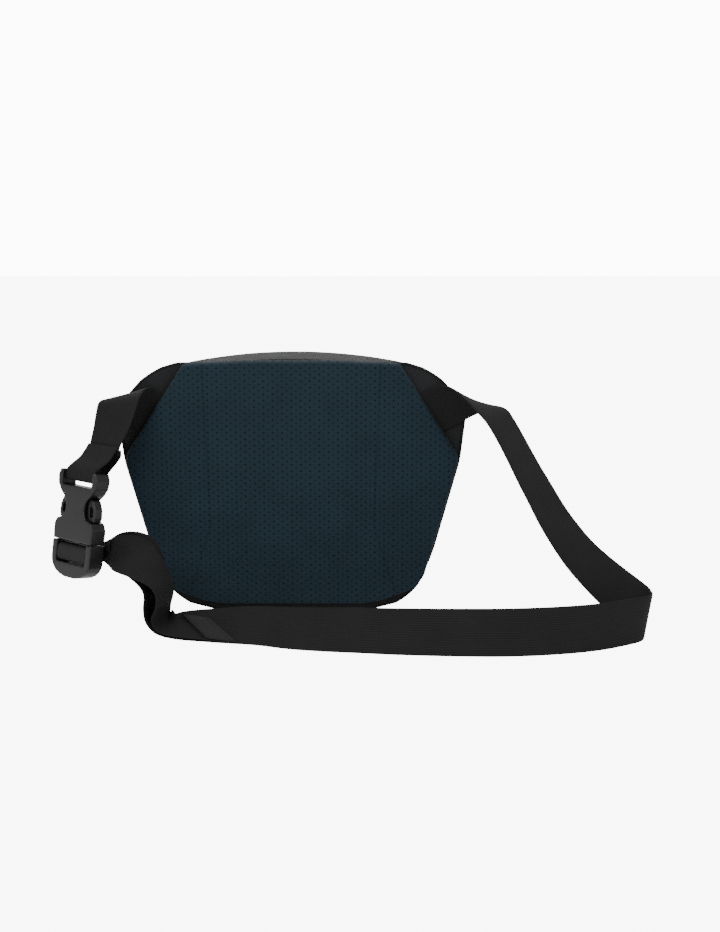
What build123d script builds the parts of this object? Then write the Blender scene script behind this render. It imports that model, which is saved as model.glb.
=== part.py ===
from build123d import *
import math
import os

# Waist-worn throw rope bag. The wearer's side faces -Y, the throw bag's front faces +Y, +Z is up.
# The origin is the centre of the holster's flat base. Lengths are millimetres.

os.makedirs("parts", exist_ok=True)

# ---------------------------------------------------------------- driving dimensions
WEB_WIDTH = 38.0            # belt webbing
WEB_THICK = 1.6
LAYER_GAP = 0.3             # air between two layers of webbing

PAD_FRONT = -42.0           # Y of the pad's face
PAD_BACK = -33.3
PAD_SKIN = 1.2
PANEL_FRONT = -33.2         # carrier panel behind the pad
PANEL_BACK = -30.0
PIPING_R = 1.6
SHEET_FRONT = -29.8         # plastic frame sheet
SHEET_BACK = -28.3

POCKET_BACK = -28.0         # holster pocket
POCKET_FRONT = 42.0
POCKET_TOP = 203.0
POCKET_WALL = 2.5
POCKET_HALF = 112.0         # half width at the mouth
POCKET_FOOT = 99.0          # half width at the base, before its corner is rounded
POCKET_SHOULDER = 140.0     # height above which the sides stand upright
POCKET_CORNER = 34.0
POCKET_ROUND = 12.0

BAG_GAP = 3.0               # throw bag to pocket wall
BAG_WALL = 1.2
BAG_BACK = -24.0
BAG_FRONT = 37.0
BAG_TOP = 194.0
BAG_MID = (BAG_BACK + BAG_FRONT) / 2

LID_HALF = 104.0
LID_CROWN = 220.0           # top of the lid at its middle
LID_DROP = 11.0             # how far its ends lie lower
LID_THICK = 4.0
LID_BACK = -23.8
LID_FRONT = 47.0
LIP_INNER = 44.0
HINGE_Z = 217.0

BUCKLE_HALF = 25.0          # half width of both buckle halves
BUCKLE_DEPTH = 7.5          # half thickness
CAVITY_HALF = 20.5
CAVITY_DEPTH = 4.6
WEB_SLOT = 19.4             # half width of the buckle's webbing slots
SPLIT = -15.0               # where socket and plug meet, along the buckle

# buckle frame: +X across its face, +Y from plug to socket, +Z out of its face
BUCKLE = Plane(origin=(-176, -76, 87.4), x_dir=(0.743, -0.669, 0), z_dir=(-0.662, -0.735, 0.149))

# the same frame cut across: +X out of its face, +Y along it
ACROSS = Plane(origin=BUCKLE.origin, x_dir=BUCKLE.z_dir, z_dir=BUCKLE.x_dir * -1)

# outlines seen from the wearer's side, right half, top to bottom: (x, z) and corner radius
PAD_HALF = [((40, 220.4), 120), ((92, 218), 2), ((144, 137), 12), ((111.5, 24), 22), ((70, 8), 50)]
PANEL_HALF = [((60, 219), 60), ((98, 218.5), 18), ((122, 211), 40), ((150, 180), 22), ((144.5, 134), 80),
              ((121.5, 52), 100), ((104, 11), 30), ((62, 0), 60)]
SHEET_HALF = [((90, 211), 14), ((104, 180), 30), ((96, 60), 60), ((84, 10), 24)]

# webbing stations: centre, and direction across the webbing
SHORT_STRAP = [
    ((-103, -34.2, 164), (-0.54, 0, -0.84)),
    ((-123, -34.6, 177), (-0.54, 0, -0.84)),
    ((-131, -37, 184), (-0.68, 0.12, -0.70)),
    ((-137, -43, 189.5), (-0.86, 0.14, -0.46)),
    ((-141, -51, 192.5), (-0.95, 0.14, -0.26)),
    ((-143.5, -59, 189), (-0.95, 0.24, -0.17)),
    ((-145.5, -63, 181), (-0.92, 0.36, -0.10)),
    ((-149, -66, 168), (-0.86, 0.48, -0.08)),
    ((-153.5, -68.5, 156), (-0.78, 0.62, -0.04)),
    ((-155, -69.5, 151), (-0.743, 0.669, 0)),
]
# the loop round the socket's bar, in the buckle frame: (across, along, out of its face)
STRAP_LOOP = [(11.2, 65.0, -9.0), (8.5, 56.6, -2.7), (4.0, 50.0, 1.6), (0.2, 45.0, 3.6), (0, 40.1, 3.9), (0, 37.0, 3.2),
              (0, 36.0, 0), (0, 36.8, -3.4), (0, 40.5, -5.6), (0, 48.0, -12.3), (5.2, 58.8, -16.5), (10.8, 65.0, -12.0)]
BELT = [
    ((102, -34.2, 164), (-0.54, 0, 0.84)),
    ((122.5, -34.4, 177), (-0.54, 0, 0.84)),
    ((133, -37, 182.5), (-0.58, -0.10, 0.80)),
    ((143, -42, 187), (-0.66, -0.28, 0.70)),
    ((152, -49, 188), (-0.74, -0.45, 0.50)),
    ((160, -57, 186.5), (-0.75, -0.61, 0.24)),
    ((168, -65, 181.5), (-0.70, -0.70, 0.04)),
    ((176, -71, 172), (-0.60, -0.80, -0.08)),
    ((190, -76, 147), (-0.58, -0.80, -0.14)),
    ((204, -79, 121), (-0.60, -0.77, -0.21)),
    ((220, -82, 93), (-0.63, -0.72, -0.29)),
    ((237, -85, 69), (-0.66, -0.64, -0.38)),
    ((254, -89, 51), (-0.68, -0.53, -0.50)),
    ((271, -95, 36), (-0.66, -0.38, -0.65)),
    ((284, -102, 26), (-0.50, -0.22, -0.84)),
    ((292, -110, 21), (-0.26, -0.05, -0.96)),
    ((293.5, -118, 19.4), (-0.16, 0, -0.98)),
    ((288, -126, 19.2), (-0.08, 0, -0.99)),
    ((274, -135, 19.2), (0, -0.05, -1)),
    ((250, -148, 19.1), (0, -0.12, -0.99)),
    ((215, -158, 18.9), (0, -0.2, -0.98)),
    ((168, -162, 18.4), (0, -0.32, -0.95)),
    ((106, -157, 17.5), (0, -0.45, -0.89)),
    ((58, -149, 16.5), (0, -0.55, -0.84)),
    ((10, -138.5, 15.0), (0, -0.66, -0.75)),
    ((-22, -125, 13.3), (0, -0.75, -0.66)),
    ((-44, -118.6, 12.0), (0, -0.81, -0.59)),
    ((-64, -113.5, 10.4), (0, -0.87, -0.5)),
    ((-87, -110, 9.6), (-0.05, -0.92, -0.38)),
    ((-103, -109, 10), (-0.17, -0.97, -0.17)),
]
ARCH = [
    BELT[-1],
    ((-110, -109, 15), (-0.28, -0.96, 0.04)),
    ((-113, -108, 26), (-0.24, -0.97, 0.04)),
    ((-112, -107, 38), (-0.26, -0.965, 0.03)),
    ((-114, -105, 47), (-0.40, -0.91, -0.04)),
    ((-118, -102, 56), (-0.69, -0.69, -0.21)),
    ((-124, -98, 64), (-0.76, -0.38, -0.50)),
    ((-133, -92, 70), (-0.66, 0.15, -0.73)),
    ((-144, -84, 71), (-0.48, 0.50, -0.72)),
    ((-155, -74, 70), (-0.50, 0.70, -0.50)),
    ((-165, -69, 68), (-0.68, 0.70, -0.15)),
    ((-171.6, -71, 67.8), (-0.743, 0.669, 0)),
]
# the tail lies on the belt's last bend, its end cut on the skew, and then follows the arch
TAIL = [
    ((-53.3, -123.5, 5.2), (0.657, -0.689, -0.333)),
    ((-79.9, -116.2, 7.0), (0.617, -0.72, -0.33)),
    ((-92, -112.0, 9.4), (0.30, -0.88, -0.37)),
]
TAIL_LIFT = [3.4, 3.0, 2.5]     # above the belt it lies on
TAIL_ARCH_LIFT = [2.3, 6.0, 11.0, 12.0, 9.0, 5.0, 3.2, 2.7, 2.8, 4.0, 8.0, 12.5]
HEM = [TAIL[0], ((-77.0, -117.1, 6.8), (0.62, -0.715, -0.33))]
HEM_LIFT = [5.8, 5.5]
HEM_THICK = 2.6


# ---------------------------------------------------------------- shared shapes
def mirrored(half):
    """Closed outline from its right half: the same points again with x negated, in reverse."""
    points = [point for point, radius in half] + [(-point[0], point[1]) for point, radius in reversed(half)]
    radii = [radius for point, radius in half] + [radius for point, radius in reversed(half)]
    return points, radii


def outline_face(half, inset=0.0):
    """Rounded front-view face in the current sketch, moved inwards by inset."""
    points, radii = mirrored(half)
    with BuildLine() as rim:
        FilletPolyline(*points, radius=radii, close=True)
    make_face(rim.edges())
    if inset:
        offset(amount=-inset, kind=Kind.ARC, mode=Mode.REPLACE)


def pocket_half(inset, top):
    """Right half of the pocket's outline, moved inwards and cut level at the given height."""
    return [((POCKET_HALF - inset, top), 0.5), ((POCKET_HALF - inset, POCKET_SHOULDER), 150),
            ((POCKET_FOOT - 0.9 * inset, inset), POCKET_CORNER - inset)]


def pouch(inset, top, back, front, radius):
    """Solid with the pocket's outline moved inwards by inset, and its front edge rounded."""
    with BuildPart() as body:
        with BuildSketch(Plane.XZ.offset(-front)):
            outline_face(pocket_half(inset, top))
        extrude(amount=front - back)
        rims = body.faces().sort_by(Axis.Y)[-1].edges().filter_by(lambda edge: edge.center().Z < top - 1)
        fillet(rims, radius=radius)
    return body.part


def unit(vector):
    return Vector(*vector).normalized()


def sections(stations, lifts):
    """Plane of each station's section, moved along the webbing's normal by its lift."""
    centres = [Vector(*centre) for centre, across in stations]
    planes = []
    for i, (centre, across) in enumerate(stations):
        ahead = centres[min(i + 1, len(centres) - 1)] - centres[max(i - 1, 0)]
        side = unit(across)
        normal = ahead.cross(side).normalized()
        planes.append(Plane(origin=centres[i] + normal * lifts[i], x_dir=side, z_dir=side.cross(normal)))
    return planes


def ribbon(name, planes, joins=(), thickness=WEB_THICK, width=WEB_WIDTH):
    """Webbing through the section planes, in one loft from each join to the next."""
    ends = [0, *joins, len(planes) - 1]
    with BuildPart() as strip:
        for first, last in zip(ends, ends[1:]):
            for plane in planes[first:last + 1]:
                with BuildSketch(plane):
                    Rectangle(width, thickness)
            loft(ruled=True)
    save(strip, name)


def recess_box(side):
    """Room behind the pad for one strap's sewn end, which runs out and up at 32 degrees."""
    with BuildPart() as room:
        with BuildSketch(Plane.XZ.offset(-PAD_BACK - 1)):
            with Locations(Location((side * 118, 174.2), side * 32.4)):
                Rectangle(60, WEB_WIDTH + 1.6)
        extrude(amount=4.0)
    return room.part


def strip_outline(points, thickness):
    """Outline of a thin strip whose middle line runs through the points."""
    left, right = [], []
    for i, (x, y) in enumerate(points):
        x0, y0 = points[max(i - 1, 0)]
        x1, y1 = points[min(i + 1, len(points) - 1)]
        length = math.hypot(x1 - x0, y1 - y0)
        dx, dy = -(y1 - y0) / length * thickness / 2, (x1 - x0) / length * thickness / 2
        left.append((x + dx, y + dy))
        right.append((x - dx, y - dy))
    return left + right[::-1]


def save(piece, name):
    piece.part.label = name
    export_step(piece.part, f"parts/{name}.step")
    print(f"{name:22s} {piece.part.volume / 1000:9.2f} cm3")


# ---------------------------------------------------------------- back pad and carrier panel
with BuildPart() as pad_cover:
    with BuildSketch(Plane.XZ.offset(-PAD_BACK)):
        outline_face(PAD_HALF)
    extrude(amount=PAD_BACK - PAD_FRONT)
    fillet(pad_cover.faces().sort_by(Axis.Y)[0].edges(), radius=3.0)
    with BuildSketch(Plane.XZ.offset(-PAD_BACK)):
        outline_face(PAD_HALF, PAD_SKIN)
    extrude(amount=PAD_BACK - PAD_FRONT - PAD_SKIN, mode=Mode.SUBTRACT)
    for side in (1, -1):
        add(recess_box(side), mode=Mode.SUBTRACT)
save(pad_cover, "pad_cover")

with BuildPart() as pad_core:
    with BuildSketch(Plane.XZ.offset(-PAD_BACK)):
        outline_face(PAD_HALF, PAD_SKIN + 1.9)
    extrude(amount=PAD_BACK - PAD_FRONT - PAD_SKIN - 0.05)
    for side in (1, -1):
        add(recess_box(side), mode=Mode.SUBTRACT)
save(pad_core, "pad_core")

with BuildPart() as carrier_panel:
    with BuildSketch(Plane.XZ.offset(-PANEL_BACK)):
        outline_face(PANEL_HALF, 2 * PIPING_R)
    extrude(amount=PANEL_BACK - PANEL_FRONT)
save(carrier_panel, "carrier_panel")

with BuildPart() as panel_piping:
    with BuildSketch(Plane.XZ.offset(-(PANEL_BACK + PANEL_FRONT) / 2 + PIPING_R * 0.9)):
        outline_face(PANEL_HALF)
        offset(amount=-2 * PIPING_R, kind=Kind.ARC, mode=Mode.SUBTRACT)
    extrude(amount=-PIPING_R * 1.8)
    fillet(panel_piping.edges().group_by(Axis.Y)[0], radius=PIPING_R * 0.6)
save(panel_piping, "panel_piping")

with BuildPart() as frame_sheet:
    with BuildSketch(Plane.XZ.offset(-SHEET_BACK)):
        outline_face(SHEET_HALF)
    extrude(amount=SHEET_BACK - SHEET_FRONT)
save(frame_sheet, "frame_sheet")

# padded wings: wedges that run out from the pocket's sides to the panel's upper corners
for side, name in ((1, "wing_right"), (-1, "wing_left")):
    with BuildPart() as wing:
        with BuildSketch(Plane.XY.offset(70)):
            Polygon((side * 112.4, -29.9), (side * 147, -29.9), (side * 112.4, -6), align=None)
        extrude(amount=140)
        with BuildSketch(Plane.XZ.offset(-40)):
            outline_face(PANEL_HALF, 2 * PIPING_R)
        extrude(amount=80, mode=Mode.INTERSECT)
    save(wing, name)

# ---------------------------------------------------------------- holster pocket
GROMMET_X = 30.0
GROMMET_R = 5.2
with BuildPart() as holster_pocket:
    add(pouch(0, POCKET_TOP, POCKET_BACK, POCKET_FRONT, POCKET_ROUND))
    add(pouch(POCKET_WALL, POCKET_TOP + 10, POCKET_BACK + 1.8, POCKET_FRONT - POCKET_WALL,
              POCKET_ROUND - POCKET_WALL), mode=Mode.SUBTRACT)
    with Locations((-GROMMET_X, 0, 0), (GROMMET_X, 0, 0)):
        Cylinder(radius=GROMMET_R, height=12, mode=Mode.SUBTRACT)
save(holster_pocket, "holster_pocket")

with BuildPart() as drain_grommets:
    with Locations((-GROMMET_X, 0, 0.3), (GROMMET_X, 0, 0.3)):
        Cylinder(radius=GROMMET_R - 0.05, height=POCKET_WALL + 0.9, align=(Align.CENTER, Align.CENTER, Align.MIN))
    with Locations((-GROMMET_X, 0, POCKET_WALL + 0.1), (GROMMET_X, 0, POCKET_WALL + 0.1)):
        Cylinder(radius=8, height=1.1, align=(Align.CENTER, Align.CENTER, Align.MIN))
    with Locations((-GROMMET_X, 0, 0), (GROMMET_X, 0, 0)):
        Cylinder(radius=3.8, height=12, mode=Mode.SUBTRACT)
save(drain_grommets, "drain_grommets")

with BuildPart() as mouth_binding:
    with BuildSketch(Plane.XY.offset(POCKET_TOP - 9)):
        for margin, mode in ((1.0, Mode.ADD), (0.2, Mode.SUBTRACT)):
            with Locations((0, (POCKET_FRONT + POCKET_BACK) / 2)):
                RectangleRounded(2 * (POCKET_HALF + margin), POCKET_FRONT - POCKET_BACK + 2 * margin,
                                 POCKET_ROUND + margin, mode=mode)
        with Locations((0, -55)):
            Rectangle(300, 100, mode=Mode.SUBTRACT)
    extrude(amount=9)
save(mouth_binding, "mouth_binding")

with BuildPart() as loop_strip:
    with BuildSketch(Plane.XZ.offset(-(POCKET_FRONT + 0.9))):
        with Locations((0, 170)):
            RectangleRounded(70, 34, 3)
    extrude(amount=0.9)
save(loop_strip, "loop_strip")

# ---------------------------------------------------------------- throw bag
bag_inset = POCKET_WALL + BAG_GAP
with BuildPart() as throw_bag:
    add(pouch(bag_inset, BAG_TOP, BAG_BACK, BAG_FRONT, 9))
    add(pouch(bag_inset + BAG_WALL, BAG_TOP + 10, BAG_BACK + BAG_WALL, BAG_FRONT - BAG_WALL, 9 - BAG_WALL),
        mode=Mode.SUBTRACT)
save(throw_bag, "throw_bag")

fill_inset = bag_inset + BAG_WALL + 0.4
fill_back = BAG_BACK + BAG_WALL + 0.4
fill_front = BAG_FRONT - BAG_WALL - 0.4
with BuildPart() as foam_float:
    add(pouch(fill_inset, 184, fill_back, fill_front, 7.4))
    with Locations((0, 0, 17)):
        Box(300, 200, 300, align=(Align.CENTER, Align.CENTER, Align.MIN), mode=Mode.SUBTRACT)
save(foam_float, "foam_float")

with BuildPart() as packed_rope:
    add(pouch(fill_inset, 184, fill_back, fill_front, 7.4))
    with Locations((0, 0, 17.4)):
        Box(300, 200, 100, align=(Align.CENTER, Align.CENTER, Align.MAX), mode=Mode.SUBTRACT)
save(packed_rope, "packed_rope")

with BuildPart() as mouth_collar:
    for inset, mode in ((0.0, Mode.ADD), (1.0, Mode.SUBTRACT)):
        for height, narrowing in ((BAG_TOP + 0.1, 1.0), (BAG_TOP + 8, 11.0)):
            with BuildSketch(Plane.XY.offset(height)):
                with Locations((0, BAG_MID)):
                    RectangleRounded(2 * (POCKET_HALF - bag_inset - narrowing - inset),
                                     BAG_FRONT - BAG_BACK - 2 * (narrowing + inset), 9 - inset)
        loft(mode=mode)
save(mouth_collar, "mouth_collar")

CORD_R = 1.4
CORD_Z = BAG_TOP + 9.6
LOCK = (0.0, 6.0, CORD_Z + 2.9)
cord_half_x = POCKET_HALF - bag_inset - 12.5
cord_front = BAG_FRONT - 12.5
cord_back = BAG_BACK + 12.5
with BuildPart() as drawcord:
    tail = [(1.7, -3.5, LOCK[2]), (1.7, cord_front - 11, LOCK[2]), (1.7, cord_front - 7, CORD_Z),
            (1.7, cord_front, CORD_Z)]
    side = [(cord_half_x, cord_front, CORD_Z), (cord_half_x, cord_back, CORD_Z)]
    right = tail + side
    with BuildLine() as cord_path:
        FilletPolyline(*right, *[(-x, y, z) for x, y, z in reversed(right)],
                       radius=[4, 3, 2.5, 9, 9, 9, 9, 2.5, 3, 4])
    with BuildSketch(Plane(origin=tail[0], z_dir=(0, 1, 0))):
        Circle(CORD_R)
    sweep(path=cord_path.wires()[0])
save(drawcord, "drawcord")

with BuildPart() as cord_end:
    with BuildSketch(Plane.XZ.offset(3.6)):
        with Locations((0, LOCK[2])):
            SlotOverall(8.5, 5)
    extrude(amount=5)
    fillet(cord_end.edges(), radius=0.8)
save(cord_end, "cord_end")

LOCK_AXIS = Plane(origin=LOCK, x_dir=(0, 1, 0), z_dir=(1, 0, 0))
with BuildPart() as cord_lock_barrel:
    with BuildSketch(LOCK_AXIS.offset(-10.5)):
        Circle(6.2)
    extrude(amount=20.5)
    fillet(cord_lock_barrel.edges(), radius=0.8)
    with BuildSketch(LOCK_AXIS.offset(-8.5)):
        Circle(4.3)
    extrude(amount=30, mode=Mode.SUBTRACT)
    with BuildSketch(Plane.XZ.offset(-20)):
        with Locations((LOCK[0], LOCK[2])):
            SlotOverall(6.8, 3.4)
    extrude(amount=30, mode=Mode.SUBTRACT)
save(cord_lock_barrel, "cord_lock_barrel")

with BuildPart() as cord_lock_button:
    with BuildSketch(LOCK_AXIS.offset(-5.2)):
        Circle(4.2)
    extrude(amount=19)
    fillet(cord_lock_button.edges().sort_by(Axis.X)[-1], radius=1.2)
    with BuildSketch(Plane.XZ.offset(-20)):
        with Locations((LOCK[0] + 1.3, LOCK[2])):
            SlotOverall(9.4, 3.4)
    extrude(amount=30, mode=Mode.SUBTRACT)
save(cord_lock_button, "cord_lock_button")

with BuildPart() as cord_lock_spring:
    coil = Helix(pitch=1.0, height=2.3, radius=3.2, center=(LOCK[0] - 8.1, LOCK[1], LOCK[2]), direction=(1, 0, 0))
    with BuildSketch(Plane(origin=coil @ 0, z_dir=coil % 0)):
        Circle(0.28)
    sweep(path=coil, is_frenet=True)
save(cord_lock_spring, "cord_lock_spring")

with BuildPart() as rope_end_loop:
    with BuildLine() as loop_path:
        FilletPolyline((34, 14, 189), (34, -2, 189), (-30, -2, 189), (-30, 14, 189), radius=7.5, close=True)
    with BuildSketch(Plane(origin=(0, -2, 189), z_dir=(1, 0, 0))):
        Circle(4)
    sweep(path=loop_path.wires()[0])
save(rope_end_loop, "rope_end_loop")

with BuildPart() as lid_hinge_tape:
    with BuildSketch(Plane.XZ.offset(25.6)):
        with Locations((0, 200)):
            Rectangle(120, 34)
    extrude(amount=-1.4)
save(lid_hinge_tape, "lid_hinge_tape")

# ---------------------------------------------------------------- lid
with BuildPart() as lid_panel:
    with BuildSketch(Plane.XZ.offset(-LID_FRONT)):
        with BuildLine():
            top = ThreePointArc((-LID_HALF, LID_CROWN - LID_DROP), (0, LID_CROWN), (LID_HALF, LID_CROWN - LID_DROP))
            under = ThreePointArc((-LID_HALF, LID_CROWN - LID_DROP - LID_THICK), (0, LID_CROWN - LID_THICK),
                                  (LID_HALF, LID_CROWN - LID_DROP - LID_THICK))
            Line(top @ 0, under @ 0)
            Line(top @ 1, under @ 1)
        make_face()
    extrude(amount=LID_FRONT - LID_BACK)
    fillet(lid_panel.edges().filter_by(Axis.Z).sort_by(Axis.Y)[-2:], radius=14)
    with BuildSketch(Plane.XZ.offset(-LID_FRONT)):
        with BuildLine():
            FilletPolyline((74, 214), (66, 196), (34, 164), (-34, 164), (-66, 196), (-74, 214),
                           radius=14)
            Line((-74, 214), (74, 214))
        make_face()
    extrude(amount=LID_FRONT - LIP_INNER)
save(lid_panel, "lid_panel")

with BuildPart() as hook_strip:
    with BuildSketch(Plane.XZ.offset(-LIP_INNER)):
        with Locations((0, 176)):
            RectangleRounded(56, 16, 2)
    extrude(amount=0.8)
save(hook_strip, "hook_strip")

with BuildPart() as lid_pull_tab:
    with BuildSketch(Plane.XZ.offset(-(LIP_INNER + 2.2))):
        with Locations((0, 155)):
            RectangleRounded(24, 17.6, 4)
    extrude(amount=1.4)
save(lid_pull_tab, "lid_pull_tab")

HANDLE_PATH = [(-50, 47.9), (-38, 47.9), (-34, 49.5), (-24, 55.5), (-10, 58), (10, 58), (24, 55.5), (34, 49.5),
               (38, 47.9), (50, 47.9)]
with BuildPart() as grab_handle:
    with BuildSketch(Plane.XY.offset(176)):
        Polygon(*strip_outline(HANDLE_PATH, 1.6), align=None)
    extrude(amount=25)
save(grab_handle, "grab_handle")

# ---------------------------------------------------------------- webbing
loop_stations = [(BUCKLE.from_local_coords(point).to_tuple(), (-0.743, 0.669, 0)) for point in STRAP_LOOP]
ribbon("short_strap", sections(SHORT_STRAP, [0.0] * len(SHORT_STRAP)))
ribbon("strap_loop", sections(loop_stations, [0.0] * len(loop_stations)))

route = BELT + ARCH[1:]
belt_planes = sections(route, [0.0] * len(route))
ribbon("belt_webbing", belt_planes[:len(BELT)], joins=(8, 19))
ribbon("belt_arch", belt_planes[len(BELT) - 1:])

tail_route = TAIL + ARCH
tail_planes = sections(tail_route, TAIL_LIFT + TAIL_ARCH_LIFT)
ribbon("belt_tail", tail_planes[:len(TAIL) + 1])
ribbon("tail_arch", tail_planes[len(TAIL):])
ribbon("tail_hem", sections(HEM, HEM_LIFT), thickness=HEM_THICK, width=WEB_WIDTH - 1)

# ---------------------------------------------------------------- buckle
SOCKET_HALF = [(25, SPLIT + 0.5), (25.3, -2), (22.5, 3), (14.5, 5.5), (12, 11), (12, 16), (14.5, 21.5), (20, 26),
               (24.5, 32), (25.2, 39), (23, 44.5), (19.6, 44.5)]
with BuildPart() as buckle_socket:
    with BuildSketch(BUCKLE.offset(-BUCKLE_DEPTH)):
        Polygon(*SOCKET_HALF, *[(-x, y) for x, y in reversed(SOCKET_HALF)], align=None)
    extrude(amount=2 * BUCKLE_DEPTH)
    # slot for the strap, and the open top round its bar
    for low, high in ((31.5, 38.2), (42.0, 50.0)):
        with BuildSketch(BUCKLE.offset(-BUCKLE_DEPTH - 1)):
            with Locations((0, (low + high) / 2)):
                Rectangle(2 * WEB_SLOT, high - low)
        extrude(amount=2 * BUCKLE_DEPTH + 2, mode=Mode.SUBTRACT)
    for face in (2.3, -BUCKLE_DEPTH - 1):
        with BuildSketch(BUCKLE.offset(face)):
            with Locations((0, 40)):
                Rectangle(2 * WEB_SLOT, 12)
        extrude(amount=BUCKLE_DEPTH + 1 - 2.3, mode=Mode.SUBTRACT)
    # cavity for the plug's prongs and tongue
    with BuildSketch(BUCKLE.offset(-CAVITY_DEPTH)):
        with Locations((0, (24 + SPLIT) / 2 - 1)):
            Rectangle(2 * CAVITY_HALF, 24 - SPLIT + 2)
    extrude(amount=2 * CAVITY_DEPTH, mode=Mode.SUBTRACT)
save(buckle_socket, "buckle_socket")

PLUG_HALF = [(25.3, SPLIT - 0.3), (25.3, -30), (24.6, -34), (22.3, -38), (18.5, -41.2), (13, -43.8), (6, -45.3)]
with BuildPart() as buckle_plug:
    with BuildSketch(BUCKLE.offset(-BUCKLE_DEPTH)):
        Polygon(*PLUG_HALF, *[(-x, y) for x, y in reversed(PLUG_HALF)], align=None)
    extrude(amount=2 * BUCKLE_DEPTH)
    with BuildSketch(BUCKLE.offset(-BUCKLE_DEPTH - 1)):
        with Locations((0, -25.4)):
            Rectangle(2 * WEB_SLOT, 15.8)
    extrude(amount=2 * BUCKLE_DEPTH + 2, mode=Mode.SUBTRACT)
    with BuildSketch(BUCKLE.offset(2.6)):
        with Locations((0, -18)):
            Rectangle(2 * WEB_SLOT, 8)
    extrude(amount=BUCKLE_DEPTH, mode=Mode.SUBTRACT)
    with BuildSketch(ACROSS.offset(-WEB_SLOT - 0.5)):
        Polygon((-3, -20.4), (2.6, -20.4), (4.2, -22), (4.2, -28), (2.6, -29.6), (-3, -29.6), align=None)
    extrude(amount=2 * WEB_SLOT + 1)
    with BuildSketch(BUCKLE.offset(-3)):
        with Locations((0, (SPLIT - 1 + 20) / 2)):
            Rectangle(9, 20 - SPLIT + 1)
    extrude(amount=6)
save(buckle_plug, "buckle_plug")

PRONG_FOOT = (15.0, -13.2)
ARM = [(13.5, -13.2), (16.5, -13.2), (16.5, 3.9), (22.4, 3.9), (23.6, 8), (23.2, 15), (19.8, 21.6), (15.5, 23),
       (13, 20), (12.6, 6)]
EYE = [(16.2, 7.6), (20.4, 8.4), (20.2, 14.6), (16.8, 18.6), (15.6, 16)]
for side, name in ((1, "prong_right"), (-1, "prong_left")):
    with BuildPart() as prong:
        with BuildSketch(BUCKLE.offset(-3.9)):
            Polygon(*[(side * x, y) for x, y in ARM], align=None)
            with Locations((side * PRONG_FOOT[0], PRONG_FOOT[1])):
                Circle(1.6)
            Polygon(*[(side * x, y) for x, y in EYE], align=None, mode=Mode.SUBTRACT)
        extrude(amount=7.8)
    save(prong, name)

# webbing turned over the plug's bar, in the plane across the bar: (out of the face, along the buckle)
TURN = [(-8.4, -18.7), (1.0, -18.5), (4.2, -18.9), (5.7, -20.8), (6.1, -25), (5.7, -29.2), (4.2, -31.1),
        (1.0, -31.5), (-8.4, -31.2)]
with BuildPart() as plug_webbing:
    with BuildSketch(ACROSS.offset(-WEB_WIDTH / 2)):
        Polygon(*[(out, along) for out, along in strip_outline(TURN, WEB_THICK)], align=None)
    extrude(amount=WEB_WIDTH)
save(plug_webbing, "plug_webbing")
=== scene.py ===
import math

import bmesh
import bpy
import numpy as np
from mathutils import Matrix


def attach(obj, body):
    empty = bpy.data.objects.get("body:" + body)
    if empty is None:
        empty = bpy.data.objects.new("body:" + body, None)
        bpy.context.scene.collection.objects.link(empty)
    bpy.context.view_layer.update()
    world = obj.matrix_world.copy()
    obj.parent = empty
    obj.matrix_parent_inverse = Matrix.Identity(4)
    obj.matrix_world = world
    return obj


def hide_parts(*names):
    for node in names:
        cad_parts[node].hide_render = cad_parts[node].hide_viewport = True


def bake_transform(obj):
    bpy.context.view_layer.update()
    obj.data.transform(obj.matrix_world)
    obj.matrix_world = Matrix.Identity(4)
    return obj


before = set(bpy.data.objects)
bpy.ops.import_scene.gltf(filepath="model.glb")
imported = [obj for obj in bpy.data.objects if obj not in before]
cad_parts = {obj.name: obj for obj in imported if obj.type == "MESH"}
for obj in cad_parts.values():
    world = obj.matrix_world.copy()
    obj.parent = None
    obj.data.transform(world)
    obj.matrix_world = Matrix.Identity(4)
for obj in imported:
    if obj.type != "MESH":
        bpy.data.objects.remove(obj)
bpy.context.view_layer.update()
MM = 0.001
STUDIO_WHITE = 12.0             # strength at which plain light shows as white
FLOOR_WHITE_SHARE = 0.7         # the rest of the floor's look is its own shading

# the pouches' common outline, in mm
POUCH_HALF = 112.0              # half width at the mouth
POUCH_FOOT = 99.0               # half width at the base
POUCH_SHOULDER = 140.0          # height above which the sides stand upright
LID_CROWN = 220.0               # top of the lid at its middle
LID_DROP = 11.0                 # how far its ends lie lower
LID_HALF = 104.0

# ------------------------------------------------------------------ camera, light and floor
camera_data = bpy.data.cameras.new("camera")
camera_data.lens, camera_data.sensor_width = 57.75, 36
camera_data.clip_start = 0.05
camera = bpy.data.objects.new("camera", camera_data)
camera.location = (0.05826, -1.2999, 0.35248)
camera.rotation_euler = (math.radians(80), 0, 0)
bpy.context.scene.collection.objects.link(camera)
bpy.context.scene.camera = camera


def softbox(name, place, aim, size, power):
    """Square area light at place, turned towards aim."""
    data = bpy.data.lights.new(name, "AREA")
    data.shape, data.size, data.energy = "SQUARE", size, power
    lamp = bpy.data.objects.new(name, data)
    way = np.array(aim, float) - np.array(place, float)
    lamp.location = place
    tilt = math.acos(-way[2] / np.linalg.norm(way))
    lamp.rotation_euler = (tilt, 0, math.atan2(way[1], way[0]) - math.pi / 2)
    bpy.context.scene.collection.objects.link(lamp)


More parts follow.
